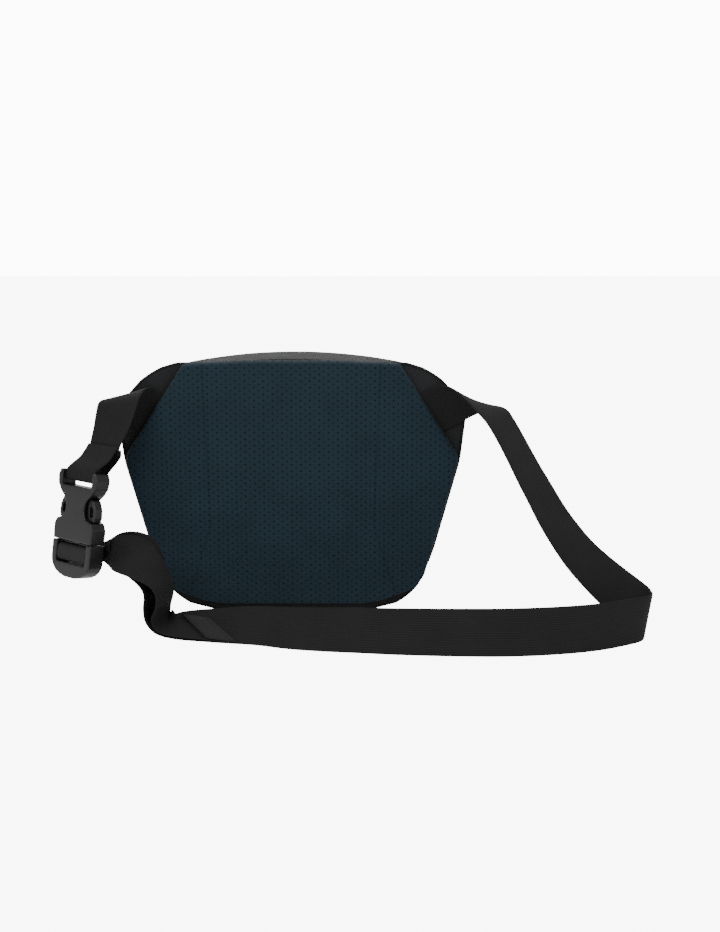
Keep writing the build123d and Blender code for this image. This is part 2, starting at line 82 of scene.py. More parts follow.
softbox("key", (-0.9, -1.5, 1.5), (0, 0, 0.1), 1.2, 20)
softbox("fill", (1.6, -1.2, 0.9), (0, 0, 0.1), 1.2, 9)
softbox("top", (0, 0.2, 1.9), (0, 0, 0.1), 1.6, 14)
softbox("back", (-0.3, 1.8, 1.2), (0, 0, 0.1), 1.4, 12)
world = bpy.data.worlds.new("studio")
bpy.context.scene.world = world
world.use_nodes = True
world.node_tree.nodes["Background"].inputs["Color"].default_value = (1, 1, 1, 1)
world.node_tree.nodes["Background"].inputs["Strength"].default_value = 0.6


def white_to_camera(tree, shader, output, strength, share=1.0):
    """The camera sees plain white light of the given strength through this share of the shader; other
    rays see the shader alone."""
    white = tree.nodes.new("ShaderNodeEmission")
    white.inputs["Strength"].default_value = strength
    path = tree.nodes.new("ShaderNodeLightPath")
    scaled = tree.nodes.new("ShaderNodeMath")
    scaled.operation = "MULTIPLY"
    scaled.inputs[1].default_value = share
    mix = tree.nodes.new("ShaderNodeMixShader")
    tree.links.new(path.outputs["Is Camera Ray"], scaled.inputs[0])
    tree.links.new(scaled.outputs[0], mix.inputs[0])
    tree.links.new(shader, mix.inputs[1])
    tree.links.new(white.outputs[0], mix.inputs[2])
    tree.links.new(mix.outputs[0], output.inputs["Surface"])


white_to_camera(world.node_tree, world.node_tree.nodes["Background"].outputs[0],
                world.node_tree.nodes["World Output"], STUDIO_WHITE)


# ------------------------------------------------------------------ finishes
class Amount:
    """A number inside a finish: + - * / and the methods below each add one Math node."""

    def __init__(self, finish, socket):
        self.finish, self.socket = finish, socket

    def math(self, operation, *others):
        node = self.finish.tree.nodes.new("ShaderNodeMath")
        node.operation = operation
        for slot, value in zip(node.inputs, (self, *others)):
            self.finish.feed(slot, value)
        return Amount(self.finish, node.outputs[0])

    def __add__(self, other):
        return self.math("ADD", other)

    def __sub__(self, other):
        return self.math("SUBTRACT", other)

    def __mul__(self, other):
        return self.math("MULTIPLY", other)

    def __truediv__(self, other):
        return self.math("DIVIDE", other)

    def __rsub__(self, other):
        return (self * -1.0).math("ADD", other)

    __radd__, __rmul__ = __add__, __mul__

    def wave(self, length):
        """Cosine of the given wavelength, from 0 to 1."""
        return (self * (2 * math.pi / length)).math("COSINE") * 0.5 + 0.5

    def ramp(self, low, high):
        """Smooth step from 0 at low to 1 at high."""
        node = self.finish.tree.nodes.new("ShaderNodeMapRange")
        node.interpolation_type = "SMOOTHSTEP"
        self.finish.feed(node.inputs["Value"], self)
        node.inputs["From Min"].default_value, node.inputs["From Max"].default_value = low, high
        return Amount(self.finish, node.outputs["Result"])


class Finish:
    """A procedural material: a Principled shader whose colour, roughness and normal are worked out by
    nodes."""

    def __init__(self, name, **fixed):
        self.material = bpy.data.materials.new(name)
        self.material.use_nodes = True
        self.tree = self.material.node_tree
        self.shader = self.tree.nodes["Principled BSDF"]
        for socket, value in fixed.items():
            self.shader.inputs[socket.replace("_", " ")].default_value = value
        self.coords = self.tree.nodes.new("ShaderNodeTexCoord")
        self.heights = []

    def feed(self, socket, value):
        if isinstance(value, Amount):
            self.tree.links.new(value.socket, socket)
        elif isinstance(value, bpy.types.NodeSocket):
            self.tree.links.new(value, socket)
        else:
            socket.default_value = value

    def node(self, kind, inputs=(), **settings):
        made = self.tree.nodes.new(kind)
        for key, value in settings.items():
            setattr(made, key, value)
        for key, value in dict(inputs).items():
            self.feed(made.inputs[key], value)
        return made

    def axes(self, source="Object"):
        """The three coordinates in millimetres: the row frame, or a piece's own UV (across, along)."""
        split = self.node("ShaderNodeSeparateXYZ", {0: self.coords.outputs[source]})
        return [Amount(self, out) * 1000.0 for out in split.outputs]

    def noise(self, size, detail=2.0, source="Object"):
        """Noise from 0 to 1 with features about size millimetres across."""
        made = self.node("ShaderNodeTexNoise", {"Vector": self.coords.outputs[source], "Scale": 1000.0 / size,
                                                "Detail": detail})
        return Amount(self, made.outputs[0])

    def colour(self, share, low, high):
        """Colour that goes from low to high as share goes from 0 to 1."""
        made = self.node("ShaderNodeMix", data_type="RGBA")
        self.feed(made.inputs[0], share)
        made.inputs[6].default_value, made.inputs[7].default_value = (*low, 1), (*high, 1)
        self.feed(self.shader.inputs["Base Color"], made.outputs[2])

    def roughness(self, value):
        self.feed(self.shader.inputs["Roughness"], value)

    def relief(self, height, depth):
        """Bump of the given depth in millimetres, where height goes from 0 to 1."""
        bump = self.node("ShaderNodeBump", {"Height": height, "Distance": depth * MM})
        if self.heights:
            self.feed(bump.inputs["Normal"], self.heights[-1])
        self.heights.append(bump.outputs[0])
        self.feed(self.shader.inputs["Normal"], bump.outputs[0])


def seam_line(height):
    """Half distance between the pad's two seams at a height in mm: 70 at 79, and wider above and below."""
    return 70.0 + (height - 79.0).math("MAXIMUM", 0.0) * 0.043 + (79.0 - height).math("MAXIMUM", 0.0) * 0.31


def air_mesh():
    """Perforated spacer mesh: small round holes in staggered rows and two sewn lines, with painted shade
    darkening the holes and the seam grooves.
    """
    made = Finish("air_mesh", Specular_IOR_Level=0.12, Sheen_Weight=0.03, Sheen_Roughness=0.5)
    x, y, z = made.axes()
    holes = None
    for shift_x, shift_z, size in ((0.0, 0.0, 0.78), (3.95, 2.75, 0.62)):
        across = ((x + shift_x) / 7.9 + 100.5).math("FRACT") - 0.5
        up = ((z + shift_z) / 5.5 + 100.5).math("FRACT") - 0.5
        reach = ((across * 7.9).math("POWER", 2.0) + (up * 5.5).math("POWER", 2.0)).math("SQRT")
        hole = 1.0 - reach.ramp(size * 0.6, size * 1.25)
        holes = hole if holes is None else holes.math("MAXIMUM", hole)
    seam = (x.math("ABSOLUTE") - seam_line(z)).math("ABSOLUTE")
    seam_groove = 1.0 - seam.ramp(0.2, 1.3)
    knit = (x + z * 0.5).wave(1.3) * (z - x * 0.5).wave(1.1)
    cloud = made.noise(38.0) * 0.35 + made.noise(2.2) * 0.25
    # painted shade: the holes are darkened by 90 % and the seam grooves by 18 %, for the shade that falls into
    # them
    shade = (cloud + knit * 0.25 + 0.25) * (1.0 - holes * 0.9) * (1.0 - seam_groove * 0.18)
    made.colour(shade, (0.003, 0.0055, 0.0075), (0.018, 0.037, 0.052))
    made.roughness(0.78 + knit * 0.14)
    made.relief(1.0 - holes, 0.7)
    made.relief(1.0 - seam_groove, 0.3)
    made.relief(knit, 0.12)
    return made.material


def woven(name, low, high, pitch, depth=0.12, source="Object", gloss=0.16, grid=0.0):
    """Plain weave: two crossed sets of threads of the given pitch, with cloudy colour and, if set, a
    ripstop grid."""
    made = Finish(name, Specular_IOR_Level=gloss, Sheen_Weight=0.03, Sheen_Roughness=0.5)
    x, y, z = made.axes(source)
    across, along = (x + y * 0.35, z + y * 0.6) if source == "Object" else (x, y)
    warp, weft = across.wave(pitch), along.wave(pitch * 1.1)
    threads = (warp - weft).math("ABSOLUTE")
    share = made.noise(45.0, source=source) * 0.4 + made.noise(3.0, source=source) * 0.2 + threads * 0.35
    if grid:
        bars = across.wave(grid).ramp(0.93, 0.99).math("MAXIMUM", along.wave(grid).ramp(0.93, 0.99))
        share = share + bars * 0.25
        made.relief(bars, 0.15)
    made.colour(share, low, high)
    made.roughness(0.62 + threads * 0.25)
    made.relief(threads, depth)
    return made.material


def webbing_finish(name, low, high, rib=1.9):
    """Ribbed webbing: ribs along its length and picks across them. UV is (across,
    along)."""
    made = Finish(name, Specular_IOR_Level=0.15, Sheen_Weight=0.02, Sheen_Roughness=0.45)
    across, along, _ = made.axes("UV")
    ribs = across.wave(rib)
    picks = along.wave(1.25)
    weave = ribs * 0.7 + picks * 0.3
    share = weave * 0.55 + made.noise(30.0, source="UV") * 0.35 + made.noise(1.4, source="UV") * 0.15
    made.colour(share, low, high)
    made.roughness(0.66 + picks * 0.2)
    made.relief(weave, 0.28)
    return made.material


def moulded(name, low, high, rough, speck=0.35):
    """Moulded plastic: fine spark-eroded grain, flow clouds, and a little gloss variation from handling."""
    made = Finish(name, Specular_IOR_Level=0.5)
    grain = made.noise(speck, 3.0)
    cloud = made.noise(14.0)
    made.colour(cloud * 0.7 + grain * 0.3, low, high)
    made.roughness(rough + cloud * 0.12 - grain * 0.06)
    made.relief(grain, 0.03)
    return made.material


def braided(name, low, high, pitch):
    """Braid: two slanted sets of strands that cross, on the row's own coordinates."""
    made = Finish(name, Specular_IOR_Level=0.3)
    x, y, z = made.axes()
    one, two = (x + y + z).wave(pitch), (x - y - z).wave(pitch)
    strands = one.math("MAXIMUM", two)
    made.colour(strands * 0.7 + made.noise(6.0) * 0.3, low, high)
    made.roughness(0.6 + strands * 0.2)
    made.relief(strands, 0.35)
    return made.material


def spring_wire():
    """Drawn wire: streaks along the coil."""
    made = Finish("spring_wire", Metallic=1.0)
    streak = made.noise(0.6, 4.0)
    made.colour(streak, (0.45, 0.45, 0.46), (0.7, 0.7, 0.7))
    made.roughness(0.25 + streak * 0.2)
    made.relief(streak, 0.01)
    return made.material


def cell_foam(name, low, high):
    """Closed-cell foam: fine round pores."""
    made = Finish(name, Specular_IOR_Level=0.3)
    cells = made.node("ShaderNodeTexVoronoi", {"Vector": made.coords.outputs["Object"], "Scale": 900.0})
    pores = Amount(made, cells.outputs["Distance"]).ramp(0.1, 0.6)
    made.colour(pores * 0.8 + made.noise(20.0) * 0.2, low, high)
    made.roughness(0.8 + pores * 0.1)
    made.relief(pores, 0.2)
    return made.material


def fuzzy(name, low, high, pitch):
    """Hook or loop tape: a field of small raised tufts."""
    made = Finish(name, Specular_IOR_Level=0.2)
    x, y, z = made.axes()
    tufts = x.wave(pitch) * z.wave(pitch) * 0.7 + made.noise(0.8) * 0.3
    made.colour(tufts, low, high)
    made.roughness(0.8 + tufts * 0.1)
    made.relief(tufts, 0.5)
    return made.material


PAD_MESH = air_mesh()
SHELL = woven("shell_weave", (0.006, 0.006, 0.0065), (0.030, 0.031, 0.033), 0.9)
TAPE = woven("edge_tape", (0.004, 0.004, 0.0045), (0.018, 0.018, 0.019), 0.7)
BAG_CLOTH = woven("bag_ripstop", (0.42, 0.045, 0.012), (0.78, 0.13, 0.035), 0.5, 0.06, gloss=0.4, grid=6.0)
WEBBING = webbing_finish("belt_weave", (0.0035, 0.0035, 0.0038), (0.019, 0.019, 0.020))
# painted light: the belt's own webbing in a lighter copy, standing in for the light on the upturned hem and on
# the turn round the plug bar
PAINTED_LIT_WEBBING = webbing_finish("webbing_painted_light", (0.009, 0.009, 0.0095), (0.034, 0.034, 0.036), 1.6)
ACETAL = moulded("black_acetal", (0.006, 0.006, 0.0065), (0.013, 0.013, 0.014), 0.30)
LOCK_PLASTIC = moulded("lock_plastic", (0.02, 0.02, 0.021), (0.035, 0.035, 0.036), 0.38)
SHEET_PLASTIC = moulded("sheet_plastic", (0.02, 0.02, 0.021), (0.05, 0.05, 0.052), 0.45, 1.2)
ENAMEL = moulded("grommet_enamel", (0.015, 0.015, 0.016), (0.03, 0.03, 0.03), 0.22, 0.8)
PAD_FOAM = cell_foam("pad_foam", (0.10, 0.10, 0.105), (0.24, 0.24, 0.25))
FLOAT_FOAM = cell_foam("float_foam", (0.55, 0.55, 0.53), (0.8, 0.8, 0.78))
ROPE = braided("rope_braid", (0.42, 0.30, 0.02), (0.86, 0.68, 0.10), 3.2)
CORD = braided("cord_braid", (0.01, 0.01, 0.01), (0.06, 0.06, 0.06), 1.2)
HOOKS = fuzzy("hook_tape", (0.006, 0.006, 0.006), (0.04, 0.04, 0.042), 1.3)
LOOPS = fuzzy("loop_tape", (0.006, 0.006, 0.006), (0.03, 0.03, 0.031), 0.9)
THREAD = woven("thread", (0.010, 0.010, 0.011), (0.045, 0.045, 0.048), 0.35, 0.08)
WIRE = spring_wire()


# ------------------------------------------------------------------ surfaces
def unit(vectors):
    """Each vector over its length."""
    return vectors / np.maximum(np.linalg.norm(vectors, axis=-1, keepdims=True), 1e-12)


def grid_faces(rows, columns, round_rows=False, round_columns=False, first=0):
    """Quads of a grid of points stored row by row, as an array of four corners each."""
    i, j = np.meshgrid(np.arange(rows if round_rows else rows - 1),
                       np.arange(columns if round_columns else columns - 1), indexing="ij")
    i, j = i.ravel(), j.ravel()
    k, m = (i + 1) % rows, (j + 1) % columns
    return first + np.stack([i * columns + j, i * columns + m, k * columns + m, k * columns + j], 1)


def new_piece(name, points, faces, finish, uv=None, smooth=True):
    """Mesh object at the origin from points in metres and faces as corner lists. Normals are turned
    outwards."""
    mesh = bpy.data.meshes.new(name)
    mesh.from_pydata(np.asarray(points).tolist(), [], [list(face) for face in faces])
    mesh.validate()
    mesh.update()
    piece = bpy.data.objects.new(name, mesh)
    bpy.context.scene.collection.objects.link(piece)
    shape = bmesh.new()
    shape.from_mesh(mesh)
    bmesh.ops.recalc_face_normals(shape, faces=shape.faces)
    shape.to_mesh(mesh)
    shape.free()
    mesh.polygons.foreach_set("use_smooth", np.full(len(mesh.polygons), smooth))
    if uv is not None:
        corners = np.zeros(len(mesh.loops), np.int32)
        mesh.loops.foreach_get("vertex_index", corners)
        layer = mesh.uv_layers.new(name="UVMap")
        layer.data.foreach_set("uv", np.asarray(uv)[corners].astype(np.float32).ravel())
    mesh.materials.append(finish)
    return piece


def curve_through(points, steps):
    """Catmull-Rom spline through the points: each span is the cubic whose end slopes are half the
    neighbours' step."""
    p = np.asarray(points, float)
    p = np.concatenate([2 * p[:1] - p[1:2], p, 2 * p[-1:] - p[-2:-1]])
    t = np.linspace(0, 1, steps, endpoint=False)[None, :, None]
    a, b, c, d = (p[k:len(p) - 3 + k, None] for k in range(4))
    spans = 0.5 * (2 * b + (c - a) * t + (2 * a - 5 * b + 4 * c - d) * t ** 2 +
                   (3 * b - a - 3 * c + d) * t ** 3)
    return np.concatenate([spans.reshape(-1, p.shape[1]), p[-2:-1]])


def webbing_strip(name, stations, finish, width=38.0, thickness=1.6, lifts=0.0, steps=8, ripple=0.12,
                  slip=0.0):
    """Webbing along given stations (centre, direction across). At each point of the spline through
    them the section is a flat oval of the given width and thickness: across = w/2 * sgn(cos a) |cos
    a|^0.16 and out = t/2 * sgn(sin a) |sin a|^0.6, set on the across direction and on tangent x across.
    lifts moves a station along that normal and slip along the across direction, in mm. UV is (across,
    along) in metres."""
    centre = curve_through([c for c, a in stations], steps)
    across = unit(curve_through([a for c, a in stations], steps))
    raised = curve_through(np.broadcast_to(np.asarray(lifts, float), (len(stations),))[:, None], steps)
    slid = curve_through(np.broadcast_to(np.asarray(slip, float), (len(stations),))[:, None], steps)
    normal = unit(np.cross(np.gradient(centre, axis=0), across))
    along = np.concatenate([[0], np.cumsum(np.linalg.norm(np.diff(centre, axis=0), axis=1))])
    wobble = ripple * (np.sin(along / 17.0) + np.sin(along / 7.3 + 1.0))[:, None]
    centre = centre + normal * (raised + wobble) + across * slid
    angle = np.linspace(0, 2 * np.pi, 28, endpoint=False)
    side = width / 2 * np.sign(np.cos(angle)) * np.abs(np.cos(angle)) ** 0.16
    out = thickness / 2 * np.sign(np.sin(angle)) * np.abs(np.sin(angle)) ** 0.6
    points = centre[:, None] + across[:, None] * side[None, :, None] + normal[:, None] * out[None, :, None]
    uv = np.stack(np.broadcast_arrays(side[None, :], along[:, None]), -1)
    rows, columns = len(centre), len(angle)
    faces = list(grid_faces(rows, columns, round_columns=True))
    faces += [list(range(columns)), list(range((rows - 1) * columns, rows * columns))]
    return new_piece(name, points.reshape(-1, 3) * MM, faces, finish, uv.reshape(-1, 2) * MM)


def tube(name, path, radius, finish, closed=False, sides=10):
    """Round tube: circles of the given radius in mm square to the path, their start set by one fixed guide
    direction."""
    path = np.asarray(path, float)
    ahead = unit((np.roll(path, -1, 0) - np.roll(path, 1, 0)) if closed else np.gradient(path, axis=0))
    guide = np.array([0.31, 0.19, 0.93])
    right = unit(np.cross(ahead, guide))
    up = np.cross(right, ahead)
    angle = np.linspace(0, 2 * np.pi, sides, endpoint=False)[None, :, None]
    points = path[:, None] + radius * (np.cos(angle) * right[:, None] + np.sin(angle) * up[:, None])
    faces = list(grid_faces(len(path), sides, round_rows=closed, round_columns=True))
    if not closed:
        faces += [list(range(sides)), list(range((len(path) - 1) * sides, len(path) * sides))]
    return new_piece(name, points.reshape(-1, 3) * MM, faces, finish)


def rounded_outline(half, count, inset=0.0):
    """Closed outline, mirrored from its right half ((x, z), radius) and rounded at each corner by an arc
    that is tangent to both sides; inset moves it inwards. Returned as count points evenly spaced, from
    the top middle clockwise."""
    corners = [(np.array(p, float), r) for p, r in half]
    corners += [(np.array((-p[0], p[1]), float), r) for p, r in reversed(half)]
    line = []
    for k, (point, radius) in enumerate(corners):
        before, after = corners[k - 1][0], corners[(k + 1) % len(corners)][0]
        a, b = unit(before - point), unit(after - point)
        half_turn = math.acos(np.clip(a @ b, -1, 1)) / 2
        reach = min(radius / math.tan(half_turn), 0.49 * np.linalg.norm(before - point),
                    0.49 * np.linalg.norm(after - point))
        t = np.linspace(0, 1, 12)[:, None]
        start, end = point + a * reach, point + b * reach
        pull = 0.45 * point + 0.55 * (start + end) / 2
        line.append((1 - t) ** 2 * start + 2 * t * (1 - t) * pull + t ** 2 * end)
    line = np.concatenate(line)
    line = np.concatenate([line, line[:1]])
    if inset:
        step = unit(np.gradient(line, axis=0))
        line = line + inset * np.stack([step[:, 1], -step[:, 0]], 1)
    length = np.concatenate([[0], np.cumsum(np.linalg.norm(np.diff(line, axis=0), axis=1))])
    at = np.linspace(0, length[-1], count, endpoint=False)
    even = np.stack([np.interp(at, length, line[:, k]) for k in (0, 1)], 1)
    first = np.argmin(np.abs(even[:, 0]) - even[:, 1])
    return np.roll(even, -first, 0)


def spread(count, edge=2.2):
    """Values from 0 to 1, closer together at both ends."""
    t = np.linspace(-1, 1, count)
    return 0.5 + 0.5 * np.sign(t) * (1 - (1 - np.abs(t)) ** edge)


def patch(outline, marks, count_u, count_v):
    """Coons patch: the four sides are the outline's stretches between the marks (bottom, right, top, left
    corners, as shares of its length), and inside it is the sum of the two ruled surfaces less the
    bilinear one of its corners."""
    loop = np.concatenate([outline, outline[:1]])
    at = np.linspace(0, 1, len(loop))
    a, b, c, d = marks

    def stretch(start, end, t):
        s = (start + (end - start) * t) % 1.0
        return np.stack([np.interp(s, at, loop[:, k]) for k in (0, 1)], -1)

    u, v = spread(count_u), spread(count_v)
    bottom, top = stretch(b, a, u), stretch(c, d + 1, u)
    left, right = stretch(b, c, v), stretch(a, d, v)
    u, v = u[None, :, None], v[:, None, None]
    ruled = (1 - v) * bottom[None] + v * top[None] + (1 - u) * left[:, None] + u * right[:, None]
    corners = ((1 - u) * (1 - v) * bottom[0] + u * (1 - v) * bottom[-1] +
               (1 - u) * v * top[0] + u * v * top[-1])
    return ruled - corners, u[..., 0], v[..., 0]


def quarter(distance, reach):
    """Rises from 0 at the edge to 1 at reach, as a quarter of an ellipse."""
    t = np.clip(distance / reach, 0, 1)
    return np.sqrt(1 - (1 - t) ** 2)


def cushion(name, outline, marks, counts, place, height, finish, edge=4.0, back_height=None):
    """Closed cushion over an outline: two grids that meet at its rim. height(a, b, u, v) is its thickness
    over the base, times a quarter ellipse of the distance to each side, and place(a, b, h) gives the
    point in the row frame."""
    flat, u, v = patch(outline, marks, *counts)
    a, b = flat[..., 0], flat[..., 1]
    wide = np.linalg.norm(flat[:, -1] - flat[:, 0], axis=-1)[:, None]
    tall = np.linalg.norm(flat[-1] - flat[0], axis=-1)[None, :]
    rim = quarter(np.minimum(u, 1 - u) * wide, edge) * quarter(np.minimum(v, 1 - v) * tall, edge)
    front = place(a, b, height(a, b, u, v) * rim)
    back = place(a, b, (back_height(a, b, u, v) if back_height else 0.0) * rim)
    rows, columns = a.shape
    index = np.arange(rows * columns).reshape(rows, columns)
    inner = np.zeros((rows, columns), bool)
    inner[1:-1, 1:-1] = True
    twin = index.copy()
    twin[inner] = rows * columns + np.arange(inner.sum())
    faces = grid_faces(rows, columns)
    points = np.concatenate([front.reshape(-1, 3), back[inner]])
    piece = new_piece(name, points * MM, np.concatenate([faces, twin.ravel()[faces][:, ::-1]]), finish)
    return piece, np.concatenate([rim.ravel() > 0.97, np.zeros(inner.sum(), bool)])


def swell(piece, held, pressure, cap):
    """Blows the piece up as cloth while its held vertices stay, and moves each vertex by cap * tanh(move
    / cap)."""
    mesh = piece.data
    rest = np.zeros(len(mesh.vertices) * 3)
    mesh.vertices.foreach_get("co", rest)
    group = piece.vertex_groups.new(name="held")
    group.add(np.nonzero(held)[0].tolist(), 1.0, "REPLACE")
    cloth = piece.modifiers.new("cloth", "CLOTH")
    cloth.settings.vertex_group_mass = "held"
    cloth.settings.use_pressure = True
    cloth.settings.uniform_pressure_force = pressure
    cloth.settings.effector_weights.gravity = 0
    cloth.settings.quality = 6
    cloth.collision_settings.use_collision = False
    cloth.point_cache.frame_start, cloth.point_cache.frame_end = 1, 20
    for step in range(1, 21):
        bpy.context.scene.frame_set(step)
    shape = piece.evaluated_get(bpy.context.evaluated_depsgraph_get()).to_mesh()
    moved = np.zeros_like(rest)
    shape.vertices.foreach_get("co", moved)
    piece.modifiers.remove(cloth)
    bpy.context.scene.frame_set(1)
    move = (moved - rest).reshape(-1, 3)
    size = np.linalg.norm(move, axis=1, keepdims=True)
    move *= np.where(size > 1e-9, cap * MM * np.tanh(size / (cap * MM)) / np.maximum(size, 1e-9), 0)
    mesh.vertices.foreach_set("co", (rest.reshape(-1, 3) + np.nan_to_num(move)).ravel())
    mesh.update()
    piece.vertex_groups.clear()


def stitches(name, lines, finish=THREAD, length=2.6, gap=1.2, radius=0.32):
    """Rows of thread: along each line of points, in mm, one spindle of eight points per stitch."""
    ring = np.array([[0, 1, 0], [0, 0, 1], [0, -1, 0], [0, 0, -1]], float)
    shape = np.concatenate([[[-1.0, 0, 0]], ring * [0, 1, 1] + [-0.6, 0, 0], ring * [0, 1, 1] + [0.6, 0, 0],
                            [[1.0, 0, 0]]])
    body = np.array([[1 + k, 1 + (k + 1) % 4, 5 + (k + 1) % 4, 5 + k] for k in range(4)])
    tips = np.array([[0, 1 + (k + 1) % 4, 1 + k, 1 + k] for k in range(4)] +
                    [[9, 5 + k, 5 + (k + 1) % 4, 5 + (k + 1) % 4] for k in range(4)])
    points, faces, made = [], [], 0
    for line in lines:
        line = np.asarray(line, float)
        far = np.concatenate([[0], np.cumsum(np.linalg.norm(np.diff(line, axis=0), axis=1))])
        mid = np.arange(gap + length / 2, far[-1] - length / 2, length + gap)
        if not len(mid):
            continue
        at = np.stack([np.interp(mid, far, line[:, k]) for k in range(3)], 1)
        nose = np.stack([np.interp(mid + 0.5, far, line[:, k]) for k in range(3)], 1)
        ahead = unit(nose - at)
        right = unit(np.cross(ahead, np.array([0.2, 0.5, 0.84])))
        up = np.cross(right, ahead)
        cloud = (at[:, None] + ahead[:, None] * shape[None, :, :1] * length / 2 +
                 (right[:, None] * shape[None, :, 1:2] + up[:, None] * shape[None, :, 2:3]) * radius)
        points.append(cloud.reshape(-1, 3))
        start = (made + np.arange(len(mid)) * 10)[:, None, None]
        faces += (body[None] + start).reshape(-1, 4).tolist()
        faces += (tips[None, :, :3] + start).reshape(-1, 3).tolist()
        made += len(mid) * 10
    return new_piece(name, np.concatenate(points) * MM, faces, finish)


# ------------------------------------------------------------------ back pad, panel, piping, wings
PAD_HALF = [((40, 220.4), 120), ((92, 218), 2), ((144, 137), 12), ((111.5, 24), 22), ((70, 8), 50)]
PANEL_HALF = [((60, 219), 60), ((98, 218.5), 18), ((122, 211), 40), ((150, 180), 22), ((144.5, 134), 80),
              ((121.5, 52), 100), ((104, 11), 30), ((62, 0), 60)]


def corner_marks(outline, right_low, right_high):
    """Shares of the outline's length at its four patch corners: low right, low left, high left, high
    right."""
    share = []
    for x, z in (right_low, (-right_low[0], right_low[1]), (-right_high[0], right_high[1]), right_high):
        share.append(np.argmin(np.hypot(outline[:, 0] - x, outline[:, 1] - z)) / len(outline))
    low_right, low_left, high_left, high_right = share
    return low_right, low_left, high_left, high_right


def wearer_side(base):
    """Placing for pieces that lie against the plane y = base and stand out towards the wearer."""
    return lambda a, b, h: np.stack([a, base - h + 0 * a, b], -1)


def seam_half(z):
    """The same line as seam_line, for the mesh."""
    return 70 + np.maximum(z - 79, 0) * 0.043 + np.maximum(79 - z, 0) * 0.31


def pad_height(a, b, u, v):
    """8.2 mm of foam, 1.4 mm crown between the sewn lines and 0.35 mm grooves along them."""
    seam = np.abs(np.abs(a) - seam_half(b))
    crown = 1.4 * np.sin(np.pi * v) * (0.6 + 0.4 * np.cos(a / 75 * np.pi / 2) ** 2)
    return 8.2 + crown - 0.35 * np.exp(-(seam / 1.6) ** 2)


outline = rounded_outline(PAD_HALF, 720)
marks = corner_marks(outline, (106, 24), (92, 218))
pad, free = cushion("back_pad", outline, marks, (150, 110), wearer_side(-33.3), pad_height, PAD_MESH,
                    edge=3.4)
at = np.array([v.co for v in pad.data.vertices]) * 1000
swell(pad, ~free | (np.abs(np.abs(at[:, 0]) - seam_half(at[:, 2])) < 2.2), 2.5, 2.0)
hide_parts("pad_cover")
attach(pad, "holster")

outline = rounded_outline(PANEL_HALF, 720, inset=2.2)
marks = corner_marks(outline, (98, 11), (118, 209))
panel = cushion("carrier_panel_cover", outline, marks, (120, 90), wearer_side(-30.0),
                lambda a, b, u, v: 3.0 + 0.5 * np.sin(a / 23) * np.sin(b / 31), SHELL, edge=1.2)[0]
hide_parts("carrier_panel")
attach(panel, "holster")

rim_line = rounded_outline(PANEL_HALF, 520, inset=1.6)
rim_path = np.stack([rim_line[:, 0], np.full(len(rim_line), -31.6), rim_line[:, 1]], 1)
piping = tube("panel_edge_piping", rim_path, 1.6, TAPE, closed=True, sides=12)
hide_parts("panel_piping")
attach(piping, "holster")


def wing(side):
    """Padded wedge beside the pocket: at each height its section is a triangle whose slanted side bulges
    by a sine, and both ends close by a quarter ellipse. Its outer edge follows the panel's outline."""
    v = spread(70, 1.6)[:, None]
    z = 72 + v * 137
    edge = rounded_outline(PANEL_HALF, 720, inset=4.5)
    right = edge[edge[:, 0] > 90]
    order = np.argsort(right[:, 1])
    far = np.interp(z, right[order, 1], right[order, 0])
    ends = quarter(np.minimum(v, 1 - v) * 137, 26)
    t = np.linspace(0, 1, 40)[None, :]
    deep = 23.0 * ends
    x_slant = 112.6 + (far - 112.6) * (1 - t) * ends
    y_slant = -29.8 + deep * t + 3.2 * np.sin(np.pi * t) * ends + 0.35 * np.sin(z / 6.0) * np.sin(np.pi * t)
    x_back = 112.6 + (far - 112.6) * t * ends
    x = side * np.concatenate([x_slant + 0 * t, x_back + 0 * t], 1)
    y = np.concatenate([y_slant + 0 * x_slant, np.full_like(x_back + 0 * t, -29.8)], 1)
    points = np.stack([x, y, np.broadcast_to(z, x.shape)], -1)
    rows, columns = x.shape
    faces = list(grid_faces(rows, columns, round_columns=True))
    faces += [list(range(columns)), list(range((rows - 1) * columns, rows * columns))]
    name = "wing_pad_right" if side > 0 else "wing_pad_left"
    piece = new_piece(name, points.reshape(-1, 3) * MM, faces, SHELL)
    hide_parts("wing_right" if side > 0 else "wing_left")
    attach(piece, "holster")


wing(1)
wing(-1)


